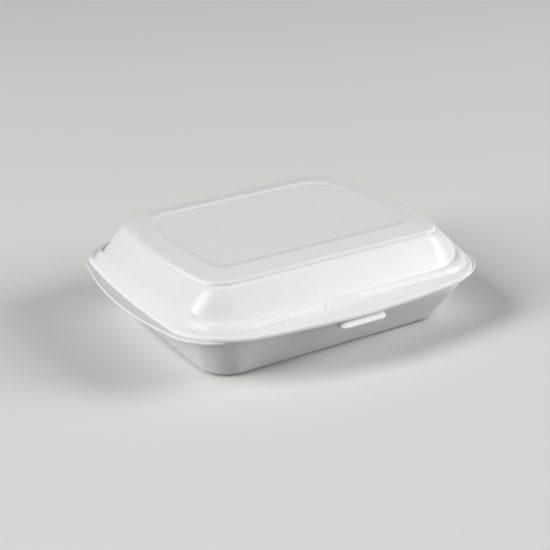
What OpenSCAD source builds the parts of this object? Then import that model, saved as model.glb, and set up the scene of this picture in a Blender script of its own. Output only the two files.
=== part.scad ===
// Foam clamshell container: a tray and a hinged lid pressed from one sheet of foam.
// The origin is the centre of the standing face, +X runs along the hinge and -Y is the front.

/* [Sheet] */
// Thickness of the foam sheet
sheet = 2.4; // [2:0.1:2.8]
// Radius of the sheet's cut edges
cut_r = 0.5; // [0.3:0.05:0.7]
// Gap between the tray's rim and the lid's lip when closed
seat_gap = 0.3; // [0.2:0.05:0.5]

/* [Heights] */
// Height of the edge of the closed lid's top
closed_h = 62; // [60:0.5:68]
// Height at which the tray meets the lid
parting_h = 35.3; // [34.6:0.1:36]
// Height at which the tray's sloping wall turns up into the collar
flare_h = 25.5; // [24:0.5:27]
// Height of the foot of the lid's sloping wall
crease_h = 41.8; // [41:0.2:43.8]
// Fall of the ledge from the foot of the lid's wall to the edge of the step
ledge_fall = 0.6; // [0.3:0.1:1]

/* [Tray outline] */
// Width of the rim over the middles of its sides
rim_w = 234.6; // [232:0.2:239]
// Distance from the centre to the middle of the front rim
rim_front = 101.6; // [100.4:0.2:102.8]
// Outward bow of the rim's sides
rim_bow = 14.8; // [13.5:0.1:16]
// Outward bow of the front rim
rim_front_bow = 10; // [9:0.5:11]
// Corner radius of the rim at the front
rim_r = 21.5; // [19:0.5:24]
// Corner radius of the rim and the lid's lip at the rear
back_r = 23; // [21:0.5:25]
// Width of the collar under the rim
collar_w = 206; // [204:1:209]
// Distance from the centre to the front of the collar
collar_front = 92.4; // [91.8:0.1:93.4]
// Distance from the centre to the rear of the collar
collar_rear = 86.4; // [85.4:0.5:86.9]
// Width at the top of the sloping wall
flare_w = 202; // [199:1:204]
// Distance from the centre to the front of the wall's top
flare_front = 91.2; // [90:0.2:92]
// Distance from the centre to the rear of the wall's top
flare_rear = 84.9; // [83.4:0.5:85.9]
// Outward bow of the wall and collar at the sides
flare_bow = 7; // [6:0.5:8]
// Outward bow of the wall and collar at the front
flare_front_bow = 2.8; // [2:0.1:3.4]
// Corner radius of the wall and collar
flare_r = 20; // [17:0.5:22]

/* [Tray foot] */
// Width of the foot
foot_w = 173; // [169:1:176]
// Depth of the foot
foot_d = 145; // [141:1:148]
// Outward bow of the foot's sides
foot_bow = 2.4; // [1:0.1:4]
// Corner radius of the foot
foot_r = 17; // [16:0.5:20]
// Radius of the rounded edge round the foot
foot_edge_r = 8; // [6:0.5:10]
// Width of the ring that the tray stands on, from the foot's edge
foot_land = 11; // [9.5:0.5:12.5]
// Rise of the bottom panel inside that ring
foot_rise = 1.2; // [0.8:0.1:2]
// Width of the slope round the bottom panel
foot_slope = 3; // [2:0.5:4]

/* [Lid outline] */
// Width of the lid's top
crown_w = 179.2; // [176:0.2:183]
// Distance from the centre to the front of the lid's top
crown_front = 72.4; // [70.4:0.5:73.4]
// Distance from the centre to the rear of the lid's top
crown_rear = 72.9; // [71.4:0.5:73.9]
// Outward bow of the top's sides
crown_bow = 7.3; // [6.3:0.5:8.3]
// Corner radius of the lid's top at the front
crown_r = 13.6; // [12:0.2:16]
// Corner radius of the lid's top at the rear
crown_back_r = 20; // [16:0.5:22]
// Radius of the top's rounded edge
crown_edge_r = 1.2; // [0.8:0.1:1.6]
// Height of the upright bead round the top's edge, with its shoulder
bead_h = 3.6; // [3.2:0.1:4.4]
// Outward lean of the bead's face
bead_lean = 0.2; // [0.1:0.05:0.4]
// Width of the shoulder below the bead
shoulder_w = 2; // [1.6:0.1:2.4]
// Fall of that shoulder
shoulder_h = 1; // [0.6:0.1:1.4]
// Width at the foot of the lid's wall
dome_w = 210.6; // [208:0.2:210.8]
// Distance from the centre to the front of the wall's foot
dome_front = 88; // [86:0.1:88.5]
// Distance from the centre to the rear of the wall's foot
dome_rear = 84; // [83:0.5:84.5]
// Outward bow of the wall's foot at the sides
dome_bow = 13; // [12:0.5:14.5]
// Outward bow of the wall's foot at the front
dome_front_bow = 3; // [2:0.1:3.8]
// Corner radius of the wall's foot
dome_r = 20.5; // [19:0.5:22]
// Width over the step below the wall
step_w = 213; // [212.6:0.1:213.6]
// Distance from the centre to the front of the step
step_front = 90; // [89.4:0.1:90.8]
// Distance from the centre to the rear of the step
step_rear = 86; // [85.6:0.2:86.2]
// Outward bow of the step at the sides
step_bow = 12.3; // [11.7:0.1:13.1]
// Outward bow of the step at the front
step_front_bow = -2; // [-3:0.1:0]
// Corner radius of the step at the front
step_r = 15.6; // [14.6:0.2:17]
// Width over the foot of the step
step_foot_w = 216; // [214:0.2:216.6]
// Outward bow of the step's foot at the sides
step_foot_bow = 13.1; // [12.5:0.1:13.7]
// Outward lean of the step's face over its height, at the front and the rear
step_lean = 0.7; // [0.4:0.1:1]
// Radius of the step's rounded edge
step_edge_r = 1.2; // [0.8:0.1:1.6]
// Width of the lip over the middles of its sides
lip_w = 220; // [219.6:0.2:222]
// Distance from the centre to the middle of the front lip
lip_front = 108.7; // [107.7:0.2:110.1]
// Outward bow of the lip's sides
lip_bow = 6.3; // [5.6:0.1:7]
// Outward bow of the front lip
lip_front_bow = 14.6; // [13.6:0.2:15.6]
// Corner radius of the lip at the front
lip_r = 32; // [29.5:0.5:34.5]
// Height of the lip's turned-down edge
lip_h = 2.9; // [2.7:0.1:3.5]
// Radius of the lip's rounded upper edge
lip_edge_r = 1.4; // [1:0.1:1.8]

/* [Lid panel] */
// Rise of the lid's top from its edge to the panel
crown_rise = 1.2; // [0.6:0.1:1.8]
// Width of the recessed panel
panel_w = 144.4; // [140:0.2:149]
// Distance from the centre to the front of the panel
panel_front = 52; // [50:0.5:55]
// Distance from the centre to the rear of the panel
panel_rear = 56; // [53:0.5:57]
// Outward bow of the panel's sides
panel_bow = 4.6; // [3.6:0.1:6]
// Corner radius of the panel
panel_r = 6.4; // [5:0.2:9]
// Depth of the recess
panel_recess = 1.1; // [0.8:0.1:1.8]
// Width of the slope round the panel
panel_slope = 1.8; // [1.4:0.1:3]

/* [Hinge] */
// Distance from the centre to the fold line at the rear
hinge_y = 91; // [90.6:0.1:92.4]
// Length of the fold
hinge_len = 150; // [130:1:152]
// Radius of the fold's bead
hinge_r = 1.3; // [1.1:0.05:1.5]
// Clearance between that bead and the lid's lip
hinge_clear = 0.35; // [0.25:0.05:0.6]

/* [Latch] */
// Sideways place of the finger tab
tab_x = -2.5; // [-10:0.1:10]
// Width of the finger tab
tab_w = 32; // [26:0.5:40]
// Reach of the tab beyond the rim
tab_reach = 10.4; // [9.4:0.2:12]
// Depth to which the tab runs back under the rim
tab_root = 4; // [3:0.5:5]
// Thickness of the tab
tab_t = 1.7; // [1.4:0.1:2]
// Fall of the tab from its root to its tip
tab_fall = 0.9; // [0.6:0.1:1.6]
// Radius of the tab's corners
tab_r = 5; // [3:0.5:5]
// Sideways place of the hump on the lid and the lug inside it
hump_x = -5.2; // [-10:0.1:10]
// Length of the hump
hump_len = 29.5; // [24:0.5:36]
// Amount by which the hump stands out from the step
hump_out = 7.6; // [7:0.1:8.2]
// Depth to which the hump runs back into the step
hump_root = 2; // [1.6:0.1:2.4]
// Amount by which the hump's upper edge stands out from the step
hump_top = 2; // [1.6:0.1:2.6]
// Height of the hump's upright foot above the lip
hump_foot_h = 0.6; // [0.4:0.1:1]
// Fall of the hump's top below the step
hump_fall = 0.6; // [0.4:0.1:0.9]
// Bevel round the top of the lug and of the hollow above it
lug_bevel = 1.4; // [1:0.1:1.6]
// Clearance round the lug that locks into the hump
lug_clear = 0.45; // [0.3:0.05:0.6]

/* [Hidden] */
$fn = 32;

// Segments in one corner, along one side and round one edge
corner_steps = 8;
side_steps = 10;
edge_steps = 4;
ring_n = 4 * (corner_steps + side_steps);

rim_top = parting_h - seat_gap / 2;
rim_under = rim_top - sheet;
lip_under = parting_h + seat_gap / 2;
lip_top = lip_under + lip_h;
flange_under = lip_top - sheet;
bead_low = closed_h - bead_h;
panel_h = closed_h + crown_rise;
step_h = crease_h - ledge_fall;
lip_rear = hinge_y - hinge_r - hinge_clear;
hump_y = (hump_root - hump_out) / 2 - step_front;

// Lean of the sloping walls from the upright, and the turn from such a wall to the level
wall_lean = 37;
wall_turn = 90 - wall_lean;

// Where the inner face of the sheet turns, as shares of its thickness inward and in height
flare_shares = [0.92, 0.43];
dome_shares = [0.55, 0.93];
step_shares = [0.81, 0.9];
skirt_shares = [0.8, 1.2];
foot_share = (1 - sin(wall_lean)) / cos(wall_lean);
mouth_share = 0.4;

// An outline: half width, front, rear, side bow, front bow, front corner radius, rear corner radius
foot = [foot_w / 2, foot_d / 2, foot_d / 2, foot_bow, 0, foot_r, foot_r];
flare = [flare_w / 2, flare_front, flare_rear, flare_bow, flare_front_bow, flare_r, flare_r];
collar = [collar_w / 2, collar_front, collar_rear, flare_bow, flare_front_bow, flare_r, flare_r];
rim = [rim_w / 2, rim_front, hinge_y, rim_bow, rim_front_bow, rim_r, back_r];
crown = [crown_w / 2, crown_front, crown_rear, crown_bow, 0, crown_r, crown_back_r];
wall_top = inset(crown, bead_h * tan(wall_lean) - shoulder_w);
dome = [dome_w / 2, dome_front, dome_rear, dome_bow, dome_front_bow, dome_r, dome_r];
step = [step_w / 2, step_front, step_rear, step_bow, step_front_bow, step_r, dome_r];
step_foot = [
    step_foot_w / 2, step_front + step_lean, step_rear + step_lean,
    step_foot_bow, step_front_bow, step_r + step_lean, dome_r + step_lean
];
lip = [lip_w / 2, lip_front, lip_rear, lip_bow, lip_front_bow, lip_r, back_r];
panel = [panel_w / 2, panel_front, panel_rear, panel_bow, 0, panel_r, panel_r];

// An outline moved inward by d all round
function inset(s, d) = [s[0] - d, s[1] - d, s[2] - d, s[3], s[4], s[5] - d, s[6] - d];

// An outline between two others
function between(s, t, share) = s * (1 - share) + t * share;

// A point of corner q, at angle a, before the sides are bowed
function corner_point(s, q, a) =
    let (side = q == 0 || q == 3 ? 1 : -1, end = q < 2 ? 1 : -1)
    let (half_d = q < 2 ? s[2] : s[1] - s[4], r = q < 2 ? s[6] : s[5])
    [side * (s[0] - s[3] - r) + r * cos(a), end * (half_d - r) + r * sin(a)];

// The same point with the sides and the front bowed outward
function bowed(s, p) =
    let (half_w = s[0] - s[3], half_d = p.y > 0 ? s[2] : s[1] - s[4], bow = p.y > 0 ? 0 : s[4])
    [p.x * (1 + s[3] * (1 - pow(p.y / half_d, 2)) / half_w), p.y * (1 + bow * (1 - pow(p.x / half_w, 2)) / half_d)];

// The points of an outline at height z, anticlockwise from the right
function ring(s, z) = [
    for (q = [0:3])
        let (ends = [corner_point(s, q, 90 * (q + 1)), corner_point(s, (q + 1) % 4, 90 * (q + 1))])
        for (k = [0:corner_steps + side_steps - 1])
            let (share = max(0, k - corner_steps) / side_steps)
            let (p = k <= corner_steps ? corner_point(s, q, 90 * (q + k / corner_steps)) : between(ends[0], ends[1], share))
            let (b = bowed(s, p))
            [b.x, b.y, z]
];

// Rings round an edge of radius r about the outline s at height z, from angle a0 to a1 above the level
function edge(s, z, r, a0, a1) = [
    for (k = [0:edge_steps])
        let (a = a0 + (a1 - a0) * k / edge_steps)
        [inset(s, -r * cos(a)), z + r * sin(a)]
];

// Rings round the turn between a level face and a sloping wall that meet at the outline s
function turn(s, z, r, up) = [
    for (k = [0:edge_steps])
        let (a = wall_turn * k / edge_steps, back = r * tan(wall_turn / 2))
        [inset(s, back - r * sin(a)), z + up * r * (1 - cos(a))]
];

// The reverse of a list
function backward(list) = [for (k = [len(list) - 1:-1:0]) list[k]];

// A closed solid through a list of outlines and heights
module loft(levels) {
    last = len(levels) - 1;
    points = [for (level = levels) each ring(level[0], level[1])];
    sides = [
        for (i = [0:last - 1], j = [0:ring_n - 1])
            let (a = i * ring_n + j, b = i * ring_n + (j + 1) % ring_n)
            each [[a, a + ring_n, b + ring_n], [a, b + ring_n, b]]
    ];
    first_cap = [for (j = [0:ring_n - 1]) j];
    last_cap = [for (j = [ring_n - 1:-1:0]) last * ring_n + j];
    polyhedron(points, concat([first_cap], sides, [last_cap]));
}

// The outline of a bar with round ends
module bar_outline(length, width) {
    square([length - width, width], center = true);
    for (side = [-1, 1])
        translate([side * (length - width) / 2, 0])
            circle(d = width);
}

// The tongue under the middle of the front rim: its side view, cut to its plan
module finger_tab() {
    root_y = tab_root - rim_front;
    tip_y = -rim_front - tab_reach;
    top_z = rim_top - sheet / 4;
    side_view = [
        [root_y, top_z],
        [root_y, top_z - tab_t],
        [tip_y, top_z - tab_t - tab_fall],
        [tip_y, top_z - tab_fall]
    ];
    translate([tab_x, 0, 0])
        intersection() {
            translate([-tab_w / 2, 0, 0])
                rotate([90, 0, 90])
                    linear_extrude(tab_w)
                        polygon(side_view);
            linear_extrude(parting_h) {
                translate([-tab_w / 2, tip_y + tab_r])
                    square([tab_w, root_y - tip_y]);
                translate([tab_r - tab_w / 2, tip_y])
                    square([tab_w - 2 * tab_r, 2 * tab_r]);
                for (side = [-1, 1])
                    translate([side * (tab_w / 2 - tab_r), tip_y + tab_r])
                        circle(tab_r);
            }
        }
}

// The lug on the inner edge of the front rim, a clearance smaller than the hollow of the hump
module locking_lug() {
    hollow(sheet + lug_clear, rim_top - sheet / 2);
}

// The round fold along the rear edge of the rim, about the line on which the lid turns
module fold_bead() {
    translate([-hinge_len / 2, hinge_y, parting_h])
        rotate([0, 90, 0])
            cylinder(h = hinge_len, r = hinge_r);
}

module base_tray() {
    color("white")
        union() {
            loft(concat(
                [[inset(foot, foot_land + foot_slope), foot_rise], [inset(foot, foot_land), 0]],
                turn(foot, 0, foot_edge_r, 1),
                [[flare, flare_h], [collar, rim_under]],
                edge(inset(rim, cut_r), rim_under + cut_r, cut_r, -90, 0),
                edge(inset(rim, cut_r), rim_top - cut_r, cut_r, 0, 90),
                [[inset(collar, sheet * (1 - mouth_share)), rim_top], [inset(collar, sheet), rim_top - sheet * mouth_share]],
                [[inset(flare, sheet * flare_shares[0]), flare_h + sheet * flare_shares[1]]],
                backward(turn(inset(foot, sheet * foot_share), sheet, foot_edge_r - sheet, 1)),
                [[inset(foot, foot_land), sheet], [inset(foot, foot_land + foot_slope), foot_rise + sheet]]
            ));
            finger_tab();
            locking_lug();
            fold_bead();
        }
}

// The hump on the front of the step: an upright foot and a slope up to the step's edge
module hump() {
    base_z = lip_top - sheet / 2;
    translate([hump_x, hump_y, base_z])
        hull() {
            linear_extrude(lip_top + hump_foot_h - base_z)
                bar_outline(hump_len, hump_out + hump_root);
            translate([0, (hump_out - hump_top) / 2, 0])
                linear_extrude(step_h - hump_fall - base_z)
                    bar_outline(hump_len - hump_out + hump_top, hump_top + hump_root);
        }
}

// What lies inside the hump, drawn in from its outside
module hollow(drawn_in, base_z) {
    width = hump_out + hump_root - 2 * drawn_in;
    length = hump_len - 2 * drawn_in;
    top_z = step_h - hump_fall - drawn_in;
    translate([hump_x, hump_y, base_z])
        hull() {
            linear_extrude(top_z - base_z - lug_bevel)
                bar_outline(length, width);
            linear_extrude(top_z - base_z)
                bar_outline(length - lug_bevel, width - lug_bevel);
        }
}

module lid() {
    color("white")
        difference() {
            union() {
                loft(concat(
                    [[inset(panel, panel_slope / 2), panel_h - panel_recess - sheet]],
                    [[inset(panel, -panel_slope / 2), panel_h - sheet]],
                    turn(inset(wall_top, sheet * foot_share), closed_h - sheet, crown_edge_r, -1),
                    [[inset(dome, sheet * dome_shares[0]), crease_h - sheet * dome_shares[1]]],
                    [[inset(step, sheet * step_shares[0]), step_h - sheet * step_shares[1]]],
                    [[inset(step_foot, sheet * step_shares[0]), flange_under]],
                    [[inset(lip, sheet * skirt_shares[1]), flange_under]],
                    [[inset(lip, sheet * skirt_shares[0]), lip_under]],
                    edge(inset(lip, cut_r), lip_under + cut_r, cut_r, -90, 0),
                    edge(inset(lip, lip_edge_r), lip_top - lip_edge_r, lip_edge_r, 0, 90),
                    [[step_foot, lip_top]],
                    edge(inset(step, step_edge_r), step_h - step_edge_r, step_edge_r, 0, 80),
                    [[dome, crease_h], [inset(crown, -shoulder_w), bead_low]],
                    [[inset(crown, -bead_lean), bead_low + shoulder_h]],
                    edge(inset(crown, crown_edge_r), closed_h - crown_edge_r, crown_edge_r, 0, 90),
                    [[inset(panel, -panel_slope / 2), panel_h]],
                    [[inset(panel, panel_slope / 2), panel_h - panel_recess]]
                ));
                hump();
            }
            hollow(sheet, lip_under - sheet);
        }
}

base_tray();
lid();
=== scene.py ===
import math
import bpy
import numpy as np
from mathutils import Matrix, Vector, noise


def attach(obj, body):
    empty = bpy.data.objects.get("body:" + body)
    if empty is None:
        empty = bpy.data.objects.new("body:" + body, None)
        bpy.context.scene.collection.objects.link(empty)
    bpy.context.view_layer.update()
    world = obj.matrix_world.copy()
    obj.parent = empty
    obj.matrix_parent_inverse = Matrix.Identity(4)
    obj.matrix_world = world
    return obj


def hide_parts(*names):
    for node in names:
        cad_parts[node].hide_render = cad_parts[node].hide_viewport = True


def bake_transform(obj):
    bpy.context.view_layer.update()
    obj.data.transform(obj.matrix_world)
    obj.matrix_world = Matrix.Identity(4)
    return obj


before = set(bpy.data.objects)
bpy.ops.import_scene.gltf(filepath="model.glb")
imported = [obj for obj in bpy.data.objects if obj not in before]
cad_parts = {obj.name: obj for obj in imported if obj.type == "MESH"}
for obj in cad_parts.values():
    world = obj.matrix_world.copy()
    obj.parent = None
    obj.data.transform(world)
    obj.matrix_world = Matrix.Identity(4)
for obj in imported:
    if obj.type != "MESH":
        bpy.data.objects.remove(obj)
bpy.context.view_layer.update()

mm = 0.001


# Camera and stage

cameraSet = {
    "lens": 79.63,                       # on a 36 mm sensor
    "azimuth": -28.77,
    "elevation": 22.76,
    "distance": 812.7,                   # in mm, from the target
    "target": (-3.68, -3.2, 25.94),
    "roll": -2.5,
}


def aim(azimuth, elevation):             # the way from the middle out to a camera or a lamp
    az, el = math.radians(azimuth), math.radians(elevation)
    return Vector((math.sin(az) * math.cos(el), -math.cos(az) * math.cos(el), math.sin(el)))


def makeCamera(p):
    az, roll = math.radians(p["azimuth"]), math.radians(p["roll"])
    back = aim(p["azimuth"], p["elevation"])
    level = Vector((math.cos(az), math.sin(az), 0))
    rise = back.cross(level)
    right = level * math.cos(roll) + rise * math.sin(roll)
    up = rise * math.cos(roll) - level * math.sin(roll)
    data = bpy.data.cameras.new("photoCamera")
    data.sensor_width = 36
    data.lens = p["lens"]
    data.clip_start = 0.02
    data.clip_end = 60
    cam = bpy.data.objects.new("photoCamera", data)
    bpy.context.scene.collection.objects.link(cam)
    turned = Matrix((right, up, back)).transposed().to_4x4()
    place = (Vector(p["target"]) + back * p["distance"]) * mm
    cam.matrix_world = Matrix.Translation(place) @ turned
    bpy.context.scene.camera = cam


# Two soft boxes, sizes and distances in metres
lampSet = {
    "left": {"azimuth": -93, "elevation": 33, "distance": 5.0, "size": (1.8, 3.8), "watts": 231.0},
    "right": {"azimuth": 57, "elevation": 21, "distance": 5.0, "size": (2.2, 3.4), "watts": 236.0},
}
skySet = {"light": 0.05, "seen": 0.88}


def makeLamps(lamps, sky):
    for name, p in lamps.items():
        back = aim(p["azimuth"], p["elevation"])
        data = bpy.data.lights.new(name + "Lamp", "AREA")
        data.shape = "RECTANGLE"
        data.size, data.size_y = p["size"]
        data.energy = p["watts"]
        lamp = bpy.data.objects.new(name + "Lamp", data)
        bpy.context.scene.collection.objects.link(lamp)
        lamp.location = back * p["distance"]
        lamp.rotation_euler = back.to_track_quat("Z", "Y").to_euler()
        lamp.visible_camera = False
    world = bpy.data.worlds.new("studio")
    bpy.context.scene.world = world
    world.use_nodes = True
    tree = world.node_tree
    shade = tree.nodes["Background"]
    shade.inputs["Color"].default_value = (1, 1, 1, 1)
    ray = tree.nodes.new("ShaderNodeLightPath")
    mix = tree.nodes.new("ShaderNodeMix")
    mix.inputs["A"].default_value = sky["light"]
    mix.inputs["B"].default_value = sky["seen"]
    tree.links.new(ray.outputs["Is Camera Ray"], mix.inputs["Factor"])
    tree.links.new(mix.outputs["Result"], shade.inputs["Strength"])


# Materials

class Wire:                              # a socket that plain expressions can use
    def __init__(self, finish, socket):
        self.finish = finish
        self.socket = socket

    def math(self, operation, *values):
        return self.finish.node("ShaderNodeMath", {"operation": operation}, dict(enumerate(values)))

    def __add__(self, other):
        return self.math("ADD", self, other)

    def __radd__(self, other):
        return self.math("ADD", other, self)

    def __sub__(self, other):
        return self.math("SUBTRACT", self, other)

    def __rsub__(self, other):
        return self.math("SUBTRACT", other, self)

    def __mul__(self, other):
        return self.math("MULTIPLY", self, other)

    def __rmul__(self, other):
        return self.math("MULTIPLY", other, self)


class Finish:                            # a material and its nodes
    def __init__(self, name):
        self.material = bpy.data.materials.new(name)
        self.material.use_nodes = True
        self.tree = self.material.node_tree
        self.tree.nodes.clear()

    def node(self, kind, settings=None, values=None, output=0):
        made = self.tree.nodes.new(kind)
        for key, value in (settings or {}).items():
            setattr(made, key, value)
        for key, value in (values or {}).items():
            if isinstance(value, Wire):
                self.tree.links.new(value.socket, made.inputs[key])
            else:
                made.inputs[key].default_value = value
        return Wire(self, made.outputs[output]) if made.outputs else None

    def mask(self, name):                # a mesh attribute, from 0 to 1
        return self.node("ShaderNodeAttribute", {"attribute_name": name}, output="Fac")

    def clouds(self, at, scale, detail):
        values = {"Vector": at, "Scale": scale, "Detail": detail}
        return self.node("ShaderNodeTexNoise", {}, values, output="Fac")

    def tint(self, share, low, high):
        settings = {"data_type": "RGBA", "clamp_factor": True}
        return self.node("ShaderNodeMix", settings, {0: share, 6: low, 7: high}, output=2)

    def close(self, shader):
        self.node("ShaderNodeOutputMaterial", {}, {"Surface": shader})
        return self.material


foamLook = {
    "white": (0.905, 0.915, 0.91, 1),
    "shade": (0.865, 0.88, 0.875, 1),    # darker tone: random clouds, and painted shade in creases, bends and recesses
    "cut": (0.93, 0.935, 0.925, 1),      # the cut edge shows open cells
    # shadeFrom: how far the clouds vary the tone, and how much painted shade the pressed mask puts into
    # creases, bends and recesses
    "shadeFrom": {"cloud": 0.75, "pressed": 0.45, "less": 0.2},
    "cutShare": 0.8,
    "rough": 0.36,
    "roughFrom": {"cloud": 0.12, "cut": 0.3, "pressed": 0.07, "seam": 0.06},
    "cloud": 60,                         # clouds in the tone, per metre
    "cell": 0.85,                        # mm across one cell of the skin
    "cellRise": 0.035,                   # mm
    "cutRise": 2.2,                      # how much more the cells of a cut edge stand out
    "ripple": 16,                        # mm across a faint ripple of the skin
    "rippleRise": 0.05,                  # mm
    "grain": 2400,                       # fine grain, per metre
    "grainRise": 0.012,                  # mm
    "relief": 0.6,
    "ior": 1.45,
    "glow": 0.2,                         # share of light that wanders inside the foam
    "glowDeep": 2.0,                     # mm
}


def foamSkin(p):
    f = Finish("foamSkin")
    at = f.node("ShaderNodeTexCoord", output="Object")
    # The pressed mask marks creases, bends and recesses: it paints shade into the tone there and makes the
    # skin a little smoother
    cut, pressed = f.mask("cutEdge"), f.mask("pressed")
    cloud = f.clouds(at, p["cloud"], 3)
    ripple = f.clouds(at, 1 / (p["ripple"] * mm), 1.5)
    packed = {"Vector": at, "Scale": 1 / (p["cell"] * mm), "Randomness": 0.9}
    cells = f.node("ShaderNodeTexVoronoi", {"feature": "F1"}, packed, output="Distance")
    grain = f.clouds(at, p["grain"], 2)
    dome = 1 - cells * cells
    cellHeight = dome * (p["cellRise"] * (1 + p["cutRise"] * cut))
    height = cellHeight + ripple * p["rippleRise"] + grain * p["grainRise"]
    relief = {"Strength": p["relief"], "Distance": mm, "Height": height}
    bumped = f.node("ShaderNodeBump", {}, relief, output="Normal")
    k = p["shadeFrom"]
    # Painted shade in creases and recesses from the pressed mask, over random cloudy tone
    tone = f.tint(k["cloud"] * cloud + k["pressed"] * pressed - k["less"], p["white"], p["shade"])
    tone = f.tint(p["cutShare"] * cut, tone, p["cut"])
    k = p["roughFrom"]
    rough = p["rough"] + k["cloud"] * (cloud - 0.5) + k["cut"] * cut - k["pressed"] * pressed
    shader = f.node("ShaderNodeBsdfPrincipled", {}, {
        "Base Color": tone,
        "Roughness": rough + k["seam"] * (1 - dome),
        "Normal": bumped,
        "IOR": p["ior"],
        "Subsurface Weight": p["glow"],
        "Subsurface Radius": (1, 1, 1),
        "Subsurface Scale": p["glowDeep"] * mm,
    })
    return f.close(shader)


floorLook = {
    "seen": (0.8, 0.8, 0.79, 1),
    "lit": (0.34, 0.34, 0.34, 1),        # the tone that throws light back on the box
    "rough": 0.75,
    "roughCloud": 0.1,
    "cloud": 3,                          # per metre
    "sheen": 0.2,
    "size": 8.4,                         # metres
    "below": 0.2,                        # mm under the standing face
}


def makeFloor(p):
    f = Finish("studioFloor")
    at = f.node("ShaderNodeTexCoord", output="Object")
    cloud = f.clouds(at, p["cloud"], 2)
    rays = ("Is Camera Ray", "Is Glossy Ray", "Is Transmission Ray")
    camera, glossy, through = (f.node("ShaderNodeLightPath", output=k) for k in rays)
    shader = f.node("ShaderNodeBsdfPrincipled", {}, {
        "Base Color": f.tint(camera + glossy + through, p["lit"], p["seen"]),
        "Roughness": p["rough"] + p["roughCloud"] * cloud,
        "Specular IOR Level": p["sheen"],
    })
    half = p["size"] / 2
    corners = [(-half, -half, 0), (half, -half, 0), (half, half, 0), (-half, half, 0)]
    mesh = bpy.data.meshes.new("studioFloor")
    mesh.from_pydata(corners, [], [(0, 1, 2, 3)])
    mesh.materials.append(f.close(shader))
    floor = bpy.data.objects.new("studioFloor", mesh)
    bpy.context.scene.collection.objects.link(floor)
    floor.location.z = -p["below"] * mm


# Outlines and lofts, in mm, on the frame's own axes

sheetSet = {
    "thick": 2.4,
    "gap": 0.16,                         # between the lip and the rim
    "cut": 0.5,                          # round of a cut edge
    "parting": 35.3,
    "lipThick": 2.9,
    "wallTurn": 53,                      # degrees from a sloping wall to the level
    "hingeY": 91.0,
    "frontY": -60.0,                     # the latch lies before this
    "tabX": -2.5,
    "humpX": -5.2,
}
sheet, cut = sheetSet["thick"], sheetSet["cut"]
rimTop = sheetSet["parting"] - sheetSet["gap"] / 2
rimUnder = rimTop - sheet
lipUnder = sheetSet["parting"] + sheetSet["gap"] / 2
lipTop = lipUnder + sheetSet["lipThick"]
wallTurn = math.radians(sheetSet["wallTurn"])
turnShare = math.tan(wallTurn / 2)

# How many steps the points of an outline take, and the room that the latch's columns need
ringSet = {"corner": 18, "rear": 26, "side": 44, "outer": 9, "latchRoom": 45}
latchSet = {
    "from": -31,
    "to": 27,
    "every": 2.6,
    "nearest": 0.16,
    "past": (0, 0.3, 0.65, 1.2),         # columns just beyond the end of a part
    "parts": (("tabX", 16, 5), ("humpX", 14.75, 4.8), ("humpX", 12, 2)),  # middle, half width, round end
}


def latchColumns(p):                     # places across the latch, close together at the ends of its parts
    places = list(np.arange(p["from"], p["to"], p["every"]))
    for middle, half, corner in p["parts"]:
        turn = [half - corner * (1 - math.sin(math.radians(a))) for a in range(0, 90, 15)]
        for offset in turn + [half + more for more in p["past"]]:
            places += [sheetSet[middle] - offset, sheetSet[middle] + offset]
    kept = []
    for x in sorted(places):
        if not kept or x - kept[-1] > p["nearest"]:
            kept.append(x)
    return np.array(kept)


latchPlaces = latchColumns(latchSet)


def smooth(low, high, v):
    t = np.clip((v - low) / (high - low), 0, 1)
    return t * t * (3 - 2 * t)


def outline(width, front, rear, bow, frontBow, corner, back=None):
    return np.array([width / 2, front, rear, bow, frontBow, corner, back or corner], float)


def inset(s, d):
    return s - d * np.array([1, 1, 1, 0, 0, 1, 1])


def between(s, t, share):
    return s * (1 - share) + t * share


def ring(s):                             # the points of an outline, anticlockwise from the right
    halfW, front = s[0] - s[3], s[1] - s[4]
    xs, ys = [], []
    for q in range(4):
        side, end = (1 if q in (0, 3) else -1), (1 if q < 2 else -1)
        depth, r = (s[2], s[6]) if q < 2 else (front, s[5])
        a = np.radians(90 * (q + np.arange(ringSet["corner"] + 1) / ringSet["corner"]))
        xs.append(side * (halfW - r) + r * np.cos(a))
        ys.append(end * (depth - r) + r * np.sin(a))
        if q == 0:
            x = np.linspace(halfW - r, r - halfW, ringSet["rear"] + 1)[1:-1]
            y = np.full(len(x), depth)
        elif q == 2:
            latch = latchPlaces * min(1, (halfW - r) / ringSet["latchRoom"])
            first = np.linspace(r - halfW, latch[0], ringSet["outer"] + 1)[1:-1]
            last = np.linspace(latch[-1], halfW - r, ringSet["outer"] + 1)[1:-1]
            x = np.concatenate([first, latch, last])
            y = np.full(len(x), -depth)
        else:
            y = np.linspace(s[2] - s[6], s[5] - front, ringSet["side"] + 1)[1:-1]
            y = y if q == 1 else y[::-1]
            x = np.full(len(y), side * halfW)
        xs.append(x)
        ys.append(y)
    x, y = np.concatenate(xs), np.concatenate(ys)
    half = np.where(y > 0, s[2], front)
    bow = np.where(y > 0, 0, s[4])
    wide = x * (1 + s[3] * (1 - (y / half) ** 2) / halfW)
    return np.stack([wide, y * (1 + bow * (1 - (x / halfW) ** 2) / half)], 1)


# The pressed tag, set on levels at creases, bends and recesses, paints shade into the foam's tone there
tagNames = ("inner", "cutEdge", "pressed", "hump", "humpIn", "tab", "lug", "softIn", "softUp", "side")


def tagged(tags, name):
    return tags[:, tagNames.index(name)]


# One level of a loft: its outline, height and tags, and how far its bend is rounded
def row(s, z, bend=0.0, **tags):
    return np.concatenate([s, [z], [tags.get(k, 0) for k in tagNames]]), bend


def edgeRows(s, z, r, low, high, steps, **tags):
    angles = np.radians(np.linspace(low, high, steps + 1))
    return [row(inset(s, -r * math.cos(a)), z + r * math.sin(a), **tags) for a in angles]


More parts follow.
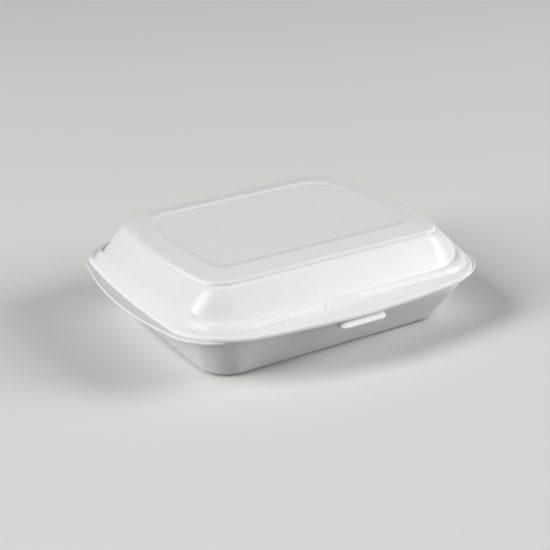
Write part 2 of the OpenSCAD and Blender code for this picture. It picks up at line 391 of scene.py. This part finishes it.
# A cut edge, rounded by r below; its upper round is covered by skin
def cutRows(s, low, high, r, skin, side=0, **tags):
    rows = edgeRows(inset(s, r), low + r, r, -90, 0, 4, cutEdge=1, **tags)
    for a in np.radians(np.linspace(0, 90, 8)):
        fade = (1 - smooth(0.45, 1, math.sin(a))) * (1 - 0.5 * side)
        z = high - skin * (1 - math.sin(a))
        rows += [row(inset(s, skin * (1 - math.cos(a))), z, cutEdge=fade, side=side, **tags)]
    return rows


def turnRows(s, z, r, up, steps, **tags):
    rows = []
    for a in np.linspace(0, wallTurn, steps + 1):
        level = z + up * r * (1 - math.cos(a))
        rows += [row(inset(s, r * turnShare - r * math.sin(a)), level, **tags)]
    return rows


def span(v):
    return math.hypot(np.abs(v[:3]).mean(), v[7])


def rounded(rows, steps=5):              # each bend becomes a short curve
    out = []
    for k, (r, bend) in enumerate(rows):
        if not bend:
            out.append(r)
            continue
        back, on = rows[k - 1][0] - r, rows[k + 1][0] - r
        a = r + back * min(bend / span(back), 0.48)
        b = r + on * min(bend / span(on), 0.48)
        for t in np.linspace(0, 1, steps + 1):
            out.append(a * (1 - t) ** 2 + r * 2 * t * (1 - t) + b * t ** 2)
    return out


# Long straight stretches get levels, two of them close to the ends
def spaced(rows, longest=5.0, close=0.6):
    out = [rows[0]]
    for a, b in zip(rows, rows[1:]):
        long = span(b - a)
        if long > 4 * close:
            inner = np.linspace(close / long, 1 - close / long, max(2, math.ceil(long / longest) + 1))
            out += [between(a, b, t) for t in inner]
        out.append(b)
    return out


def panelRows(s, z, **tags):             # levels from the middle of a panel out to its edge
    shares = (0.06, 0.2, 0.4, 0.6, 0.8, 0.93)
    return [row(s * k, z, **tags)[0] for k in shares]


def sheetLevels(rows, below, above):     # from the middle of one panel round the edge to the other's
    body = rounded([(below[-1], 0)] + rows + [(above[0], 0)])
    return below[:-1] + spaced(body) + above[1:]


def loftMesh(name, rows, shaped):
    flats = [ring(r[:7]) for r in rows]
    rings = [np.column_stack([flat, np.full(len(flat), r[7])]) for flat, r in zip(flats, rows)]
    inward = np.concatenate([ring(inset(r[:7], 0.5)) - flat for flat, r in zip(flats, rows)]) * 2
    count = len(rings[0])
    tags = np.repeat(np.array([r[8:] for r in rows]), count, axis=0)
    points = shaped(np.concatenate(rings), tags, inward)
    index = np.arange(len(points)).reshape(len(rings), count)
    faces = []
    for low, high in zip(index, index[1:]):
        faces += np.stack([low, high, np.roll(high, -1), np.roll(low, -1)], 1).tolist()
    first, last = len(points), len(points) + 1
    points = np.vstack([points, points[index[0]].mean(0), points[index[-1]].mean(0)])
    tags = np.vstack([tags, tags[index[0][0]], tags[index[-1][0]]])
    faces += [(first, a, b) for a, b in zip(index[0].tolist(), np.roll(index[0], -1).tolist())]
    faces += [(last, b, a) for a, b in zip(index[-1].tolist(), np.roll(index[-1], -1).tolist())]
    mesh = bpy.data.meshes.new(name)
    mesh.from_pydata((points * mm).tolist(), [], faces)
    mesh.update()
    for key in ("cutEdge", "pressed"):
        values = tagged(tags, key).astype(np.float32)
        mesh.attributes.new(key, "FLOAT", "POINT").data.foreach_set("value", values)
    mesh.polygons.foreach_set("use_smooth", [True] * len(mesh.polygons))
    return mesh


def addPiece(name, mesh, finish):
    mesh.materials.append(finish)
    piece = bpy.data.objects.new(name, mesh)
    bpy.context.scene.collection.objects.link(piece)
    return piece


unevenness = {
    "wave": 0.16,
    "waveLong": 34,
    "waveSeed": 3.1,
    "sink": 0.6,                         # share of the wave that goes down
    "edge": 0.22,                        # for cut edges
    "edgeLong": 5.5,
    "edgeSeed": 8.4,
    "holdH": 4,                          # it fades out below this, so that the foot stands flat
}


def skinNoise(at, size, seed):
    shift = Vector((seed, seed * 2.3, seed * 0.7))
    return noise.noise(Vector((at[0] / size, at[1] / size, at[2] / size)) + shift)


def uneven(points, tags, p):             # a faint unevenness, the same on both faces of the sheet
    out = points.copy()
    for k, (at, cutEdge) in enumerate(zip(points, tagged(tags, "cutEdge"))):
        hold = min(1.0, max(0.0, at[2] / p["holdH"]))
        wave = abs(p["wave"] * skinNoise(at, p["waveLong"], p["waveSeed"]) * hold)
        edge = p["edge"] * cutEdge * abs(skinNoise(at, p["edgeLong"], p["edgeSeed"]))
        radial = at[:2] / (np.hypot(*at[:2]) + 1e-6)
        out[k, :2] -= radial * (wave + edge)
        out[k, 2] -= p["sink"] * wave * hold
    return out


# The tray

traySize = {
    "foot": outline(173, 72.5, 72.5, 2.4, 0, 17),
    "flare": outline(202, 91.2, 84.9, 7, 2.8, 20),
    "collar": outline(206, 92.4, 86.4, 7, 2.8, 20),
    "rim": outline(234.6, 101.6, 91, 14.8, 10, 21.5, 23),
    "flareH": 25.5,
    "footEdge": 8.0,
    "footLand": 11.0,
    "footSlope": 3.0,
    "footRise": 1.2,
    "rimRound": 1.5,                     # the underside of the rim's edge curves up
    "bend": {"foot": 1.0, "flare": 2.2, "collar": 1.1, "mouth": 0.5},
    "innerShares": {"mouth": 0.6, "mouthFall": 0.4, "flare": 0.92, "flareRise": 0.43},  # of the sheet
    "tab": {
        "half": 16.0,
        "reach": 10.4,
        "corner": 5.0,
        "root": 4.0,
        "drop": 1.9,
        "thin": 0.3,
        "ends": (-0.05, 0.6),            # where its ends fade, from its half width
        "droop": 0.45,                   # its left end hangs lower
        "droopX": (-15, -6),
    },
    "lug": {
        "half": 11.9,
        "high": 2.55,
        "end": 1.2,
        # places as shares of the way from the mouth to the rim, and heights as shares
        "profile": ((0.4, 0), (0.375, 0), (0.36, 0.6), (0.33, 1), (0.05, 1), (0.025, 0.6), (0.012, 0)),
    },
}


def trayRows(p):
    foot, flare, collar, rim = (p[k] for k in ("foot", "flare", "collar", "rim"))
    bend, share = p["bend"], p["innerShares"]
    land, ramp = inset(foot, p["footLand"]), inset(foot, p["footLand"] + p["footSlope"])
    mouth = inset(collar, sheet * share["mouth"])
    rimFlat = inset(rim, cut)
    tabRoot = inset(rim, p["tab"]["root"])
    inside = {"inner": 1}
    # pressed on a level paints shade into the tone at that bend
    rows = [row(ramp, p["footRise"], bend["foot"], pressed=0.5), row(land, 0, bend["foot"], pressed=0.5)]
    rows += turnRows(foot, 0, p["footEdge"], 1, 9)
    rows += [row(flare, p["flareH"], bend["flare"], pressed=0.4)]
    rows += [row(collar, rimUnder, bend["collar"], pressed=0.8)]
    rows += [row(tabRoot, rimUnder)]
    rows += cutRows(rim, rimUnder, rimTop, p["rimRound"], cut, tab=1)
    rows += [row(tabRoot, rimTop)]
    for place, lug in p["lug"]["profile"]:
        rows += [row(between(mouth, rimFlat, place), rimTop, lug=lug, **inside)]
    rows += [row(mouth, rimTop, 0, pressed=0.4, **inside)]
    inCollar, inFlare = inset(collar, sheet), inset(flare, sheet * share["flare"])
    mouthLow, flareHigh = rimTop - sheet * share["mouthFall"], p["flareH"] + sheet * share["flareRise"]
    rows += [row(inCollar, mouthLow, bend["mouth"], pressed=0.4, **inside)]
    rows += [row(inFlare, flareHigh, bend["flare"], pressed=0.4, **inside)]
    rows += turnRows(inset(foot, sheet * turnShare), sheet, p["footEdge"] - sheet, 1, 9, **inside)[::-1]
    rows += [row(land, sheet, bend["foot"], pressed=0.5, **inside)]
    rows += [row(ramp, p["footRise"] + sheet, bend["foot"], pressed=0.5, **inside)]
    below = panelRows(ramp, p["footRise"])
    above = panelRows(ramp, p["footRise"] + sheet, **inside)[::-1]
    return sheetLevels(rows, below, above)


def trayShape(points, tags, inward):
    tab, lug = traySize["tab"], traySize["lug"]
    front = points[:, 1] < sheetSet["frontY"]
    along = points[:, 0] - sheetSet["tabX"]
    arc = np.clip(np.abs(along) - (tab["half"] - tab["corner"]), 0, tab["corner"])
    reach = tab["reach"] - tab["corner"] + np.sqrt(tab["corner"] ** 2 - arc ** 2)
    low, high = (tab["half"] + more for more in tab["ends"])
    on = (1 - smooth(low, high, np.abs(along))) * front * tagged(tags, "tab")
    mid = rimUnder + sheet / 2
    bent = mid + (points[:, 2] - mid) * (1 - tab["thin"] * on) - tab["drop"] * on ** 3
    out = points.copy()
    out[:, 1] -= reach * on
    out[:, 2] = np.where(on > 0, bent, points[:, 2])
    out[:, 2] -= tab["droop"] * on ** 3 * (1 - smooth(*tab["droopX"], along))
    dx = np.abs(points[:, 0] - sheetSet["humpX"])
    across = 1 - smooth(lug["half"] - lug["end"], lug["half"], dx)
    out[:, 2] += lug["high"] * tagged(tags, "lug") * across * front
    return uneven(out, tags, unevenness)


# The lid

lidSize = {
    "crown": outline(179.2, 72.4, 72.9, 7.3, 0, 13.6, 20),
    "dome": outline(210.6, 87, 84, 13, 3, 20.5),
    "step": outline(213, 90, 86, 12.3, -2, 23, 20.5),
    "stepFoot": outline(216, 90.7, 86.7, 13.1, -2, 23.7, 21.2),
    "lip": outline(220, 108.7, 89.35, 6.3, 14.6, 32, 23),
    "panel": outline(144.4, 52, 56, 4.6, 0, 6.4, 17),
    "closedH": 62.0,
    "crownRise": 1.2,
    "creaseH": 40.0,
    "stepH": 41.6,
    "stepSoft": (1.2, 2.2),              # how far the soft step reaches behind and before its face
    "lipEdge": 1.4,
    "crownEdge": 1.2,
    "crownFlat": (0.8, 0.22),            # a level just inside the soft bead: how far in and up
    "beadH": 3.6,
    "beadLean": 0.2,
    "shoulder": (2.0, 1.0),              # width and fall below the bead
    "panelSlope": 3.4,
    "panelRecess": 0.65,
    "bend": {"panelIn": 0.8, "creaseIn": 1.0, "stepIn": 0.8, "footIn": 0.4, "flange": 0.3, "lip": 0.1,
             "crease": 1.0, "shoulder": 0.6, "bead": 0.4, "crown": 0.6, "panel": 1.0},
    "innerShares": {"dome": 0.55, "domeFall": 0.93, "step": 0.81, "stepFall": 0.9,  # of the sheet
                    "flange": 1.2, "lip": 0.8},
    # Levels from the lip's edge to the step, close together under the hump
    "flangeShares": (0.2, 0.36, 0.46, 0.54, 0.6, 0.65, 0.69, 0.72, 0.75, 0.78, 0.81, 0.85),
    # The bead is soft at the sides and the rear: a curve from the shoulder to the crown
    "softBead": {"middle": (-0.95, 0.04), "end": (-4.2, 0.18), "start": 0.25, "from": 0.4, "every": 0.07,
                 "sideY": (-62, 12), "sideX": (45, 72), "rearY": (40, 66), "most": 0.92},
    # At the sides the wall runs on to the lip's edge without a ledge
    "straight": {"frontY": (-95, -62), "rearY": (58, 80), "sideX": (70, 90)},
    "fullCorner": {"out": 1.0, "fromX": 70, "fromY": 61},  # the wall's front corners bulge below the bead
    "hump": {"half": 14.75, "flat": 8.8, "from": 0.2, "top": 2.4, "to": 8.0, "rise": 0.9, "dip": 0.1,
             "face": 88.9, "round": 0.3},
    "pip": {"at": (-89.5, 84.8), "radius": 3.2, "high": 0.8},
    "hollow": {"half": 12.6, "round": 2.2, "face": 93.5, "ceiling": 38.2, "ends": (-0.1, 0.5)},
}


# How far a level of the bead moves where the bead is soft, inward and up
def soft(p, out, share, z):
    k, top = p["softBead"], p["closedH"]
    a = (p["shoulder"][0], top - p["beadH"])
    c = (k["middle"][0], top + k["middle"][1])
    b = (k["end"][0], top + k["end"][1])
    at = [a[i] * (1 - share) ** 2 + c[i] * 2 * share * (1 - share) + b[i] * share ** 2 for i in (0, 1)]
    return {"softIn": out - at[0], "softUp": at[1] - z}


def lidRows(p):
    crown, dome, step = p["crown"], p["dome"], p["step"]
    stepFoot, lip, panel = p["stepFoot"], p["lip"], p["panel"]
    bend, share, bead = p["bend"], p["innerShares"], p["softBead"]
    top, flangeUnder = p["closedH"], lipTop - sheet
    high = top + p["crownRise"]
    beadLow = top - p["beadH"]
    shoulderTop = beadLow + p["shoulder"][1]
    wallTop = inset(crown, p["beadH"] / math.tan(wallTurn) - p["shoulder"][0])
    inFoot, inStep = inset(stepFoot, sheet * share["step"]), inset(step, sheet * share["step"])
    inDome = inset(dome, sheet * share["dome"])
    ramp, brim = inset(panel, p["panelSlope"] / 2), inset(panel, -p["panelSlope"] / 2)
    inside = {"inner": 1}
    inWall = {"inner": 1, "side": 1, "pressed": 0.6}
    # pressed on a level paints shade into the tone at that crease, bend or recess
    rows = [row(ramp, high - p["panelRecess"] - sheet, bend["panelIn"], pressed=0.5, **inside)]
    rows += [row(brim, high - sheet, bend["panelIn"], pressed=0.5, **inside)]
    rows += turnRows(inset(wallTop, sheet * turnShare), top - sheet, p["crownEdge"], -1, 6, **inside)
    rows += [row(inDome, p["creaseH"] - sheet * share["domeFall"], bend["creaseIn"], **inWall)]
    rows += [row(inStep, p["stepH"] - sheet * share["stepFall"], bend["stepIn"], humpIn=1, **inWall)]
    rows += [row(inFoot, flangeUnder, bend["footIn"], humpIn=1, **inWall)]
    rows += [row(inset(lip, sheet * share["flange"]), flangeUnder, bend["flange"], **inside)]
    rows += [row(inset(lip, sheet * share["lip"]), lipUnder, bend["lip"], **inside)]
    rows += cutRows(lip, lipUnder, lipTop, cut, p["lipEdge"], side=1)
    flange = inset(lip, p["lipEdge"])
    face = between(step, stepFoot, 0.5)
    for place in p["flangeShares"]:
        rows += [row(between(flange, face, place), lipTop, hump=1, side=1)]
    back, on = p["stepSoft"]
    for out in np.linspace(on, -back, 13):
        level = 1 - smooth(-back, on, out)
        rows += [row(inset(face, -out), lipTop + (p["stepH"] - lipTop) * level, hump=1, side=1)]
    rows += [row(dome, p["creaseH"], bend["crease"], side=1, pressed=0.8)]
    rows += [row(inset(crown, -p["shoulder"][0]), beadLow, bend["shoulder"], pressed=0.7)]
    moved = soft(p, p["beadLean"], bead["start"], shoulderTop)
    rows += [row(inset(crown, -p["beadLean"]), shoulderTop, bend["bead"], pressed=0.5, **moved)]
    for k, a in enumerate(np.radians(np.linspace(0, 90, 7))):
        inward = p["crownEdge"] * (1 - math.cos(a))
        z = top - p["crownEdge"] * (1 - math.sin(a))
        rows += [row(inset(crown, inward), z, **soft(p, -inward, bead["from"] + bead["every"] * k, z))]
    more, rise = p["crownFlat"]
    rows += [row(inset(crown, more - bead["end"][0]), top + rise, bend["crown"])]
    rows += [row(brim, high, bend["panel"], pressed=0.4)]
    rows += [row(ramp, high - p["panelRecess"], bend["panel"], pressed=0.5)]
    below = panelRows(ramp, high - p["panelRecess"] - sheet, **inside)
    above = panelRows(ramp, high - p["panelRecess"])[::-1]
    return sheetLevels(rows, below, above)


def straightSides(points, tags, p):
    count = len(ring(lidSize["lip"]))
    out = points.copy().reshape(-1, count, 3)
    on = tagged(tags, "side")[::count] > 0
    inner = tagged(tags, "inner")[::count] > 0.5
    for face, lowest in ((on & inner, -1), (on & ~inner, 0)):
        first, last = np.nonzero(face)[0][[0, -1]] + (-1, 1)
        part = out[first:last + 1]
        steps = np.linalg.norm(np.diff(part, axis=0), axis=2)
        gone = np.concatenate([np.zeros((1, count)), np.cumsum(steps, 0)])
        share = (gone / gone[-1])[:, :, None]
        straight = part[0] * (1 - share) + part[-1] * share
        x, y = part[lowest, :, 0], part[lowest, :, 1]
        weight = smooth(*p["frontY"], y) * (1 - smooth(*p["rearY"], y)) * smooth(*p["sideX"], np.abs(x))
        out[first:last + 1] = part + (straight - part) * weight[None, :, None]
    return out.reshape(-1, 3)


def softenBead(out, points, tags, inward, p):
    x, y = np.abs(points[:, 0]), points[:, 1]
    away = smooth(*p["sideY"], y) * smooth(*p["sideX"], x) + smooth(*p["rearY"], y)
    away = p["most"] * np.clip(away, 0, 1)
    out[:, :2] += inward * (tagged(tags, "softIn") * away)[:, None]
    out[:, 2] += tagged(tags, "softUp") * away


def fillCorners(out, points, inward, outer, p):
    ax = np.maximum(np.abs(points[:, 0]) - p["fromX"], 0)
    ay = np.maximum(-points[:, 1] - p["fromY"], 0)
    corner = np.sin(2 * np.arctan2(ay, np.maximum(ax, 1e-6))) * (ax > 0)
    top = lidSize["closedH"] - lidSize["beadH"]
    down = np.clip((top - points[:, 2]) / (top - lidSize["creaseH"]), 0, 1)
    full = 27 / 4 * down * (1 - down) ** 2   # reaches 1 a third of the way down
    out[:, :2] -= inward * (p["out"] * full * corner * outer)[:, None]


def raiseHump(out, points, on, p):
    dx = np.abs(points[:, 0] - sheetSet["humpX"])
    ahead = -points[:, 1] - p["face"]
    ramp = np.clip((p["to"] - ahead) / (p["to"] - p["top"]), 0, 1)
    high = lidSize["stepH"] + p["rise"] - lipTop
    lifted = lipTop + high * ((1 - p["round"]) * ramp + p["round"] * smooth(0, 1, ramp))
    lifted -= (p["rise"] + p["dip"]) * (1 - smooth(p["from"], p["top"], ahead))
    across = 1 - smooth(p["flat"], p["half"], dx)
    lifted = out[:, 2] + np.maximum(lifted - out[:, 2], 0) * across
    out[:, 2] = np.where(on, lifted, out[:, 2])


def raisePip(out, points, outer, p):     # a small pressed pip on the lip
    away = ((points[:, :2] - p["at"]) ** 2).sum(1)
    onLip = (points[:, 2] > lipTop - 0.1) * (points[:, 2] < lidSize["stepH"])
    out[:, 2] += p["high"] * np.exp(-away / p["radius"] ** 2) * outer * onLip


def sinkHollow(out, points, on, p):      # the room for the lug inside the hump
    dx = np.abs(points[:, 0] - sheetSet["humpX"])
    arc = np.clip(dx - (p["half"] - p["round"]), 0, p["round"])
    face = p["face"] + np.sqrt(p["round"] ** 2 - arc ** 2)
    low, high = (p["half"] + more for more in p["ends"])
    on = (1 - smooth(low, high, dx)) * on
    out[:, 1] -= np.maximum(face + points[:, 1], 0) * on
    sunk = np.minimum(out[:, 2], between(out[:, 2], p["ceiling"], on))
    out[:, 2] = np.where(on > 0, sunk, out[:, 2])


def lidShape(points, tags, inward):
    p = lidSize
    front = points[:, 1] < sheetSet["frontY"]
    outer = tagged(tags, "inner") < 0.5
    out = straightSides(points, tags, p["straight"])
    softenBead(out, points, tags, inward, p["softBead"])
    fillCorners(out, points, inward, outer, p["fullCorner"])
    raiseHump(out, points, front & outer & (tagged(tags, "hump") > 0), p["hump"])
    raisePip(out, points, outer, p["pip"])
    sinkHollow(out, points, front * tagged(tags, "humpIn"), p["hollow"])
    return uneven(out, tags, unevenness)


# The fold between tray and lid

foldSize = {
    "long": 150.0,
    "thick": 0.9,
    "path": [(-1.5, -1.35), (-0.6, -1.15), (-0.05, -0.8), (0.4, -0.4), (0.55, 0.0), (0.45, 0.4),
             (0.1, 0.8), (-0.7, 1.15), (-2.3, 1.35)],
    "pathSteps": 40,
    "softer": 6,                         # how often the path is softened
    "lengthSteps": 120,
    "pinch": 0.04,                       # its edge is a little uneven along its length
    "pinchLong": 3.0,
    "bendReach": 1.3,                    # mm below and above the hinge where it stops bending
}


def foldMesh(p):
    path = np.array(p["path"])
    along = np.linspace(0, 1, len(path))
    fine = np.linspace(0, 1, p["pathSteps"] + 1)
    line = np.stack([np.interp(fine, along, path[:, k]) for k in (0, 1)], 1)
    for turn in range(p["softer"]):
        line[1:-1] = (line[:-2] + 2 * line[1:-1] + line[2:]) / 4
    slope = np.gradient(line, axis=0)
    slope /= np.linalg.norm(slope, axis=1)[:, None]
    out = np.stack([slope[:, 1], -slope[:, 0]], 1) * p["thick"] / 2
    loop = np.vstack([line + out, (line - out)[::-1]])
    n, parts = len(loop), p["lengthSteps"]
    points, faces = [], []
    for k in range(parts + 1):
        x = (-1 + 2 * k / parts) * p["long"] / 2
        pinch = 1 - p["pinch"] * abs(noise.noise(Vector((x / p["pinchLong"], 0.3, 0.9))))
        for y, z in loop:
            points.append((x, sheetSet["hingeY"] + y * pinch, sheetSet["parting"] + z * pinch))
    for k in range(parts):
        for j in range(n):
            a, b = k * n + j, k * n + (j + 1) % n
            faces.append((a, b, b + n, a + n))
    faces.append(tuple(range(n - 1, -1, -1)))
    faces.append(tuple(range(parts * n, (parts + 1) * n)))
    mesh = bpy.data.meshes.new("hinge_fold")
    mesh.from_pydata([tuple(v * mm for v in q) for q in points], [], faces)
    mesh.update()
    mesh.attributes.new("cutEdge", "FLOAT", "POINT")
    # The whole fold gets the painted crease shade through the pressed attribute
    mesh.attributes.new("pressed", "FLOAT", "POINT").data.foreach_set("value", [1.0] * len(points))
    mesh.polygons.foreach_set("use_smooth", [len(f.vertices) == 4 for f in mesh.polygons])
    return mesh


makeCamera(cameraSet)
makeLamps(lampSet, skySet)
makeFloor(floorLook)
print("camera, lamps and floor made")

foam = foamSkin(foamLook)
tray = addPiece("foam_tray", loftMesh("foam_tray", trayRows(traySize), trayShape), foam)
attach(tray, "tray")
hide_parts("base_tray")
print("tray made:", len(tray.data.vertices), "points")

lid = addPiece("foam_lid", loftMesh("foam_lid", lidRows(lidSize), lidShape), foam)
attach(lid, "lid")
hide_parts("lid")
print("lid made:", len(lid.data.vertices), "points")

fold = addPiece("hinge_fold", foldMesh(foldSize), foam)
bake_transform(fold)
print("fold made:", len(fold.data.vertices), "points")

bpy.context.scene.view_settings.view_transform = "Standard"
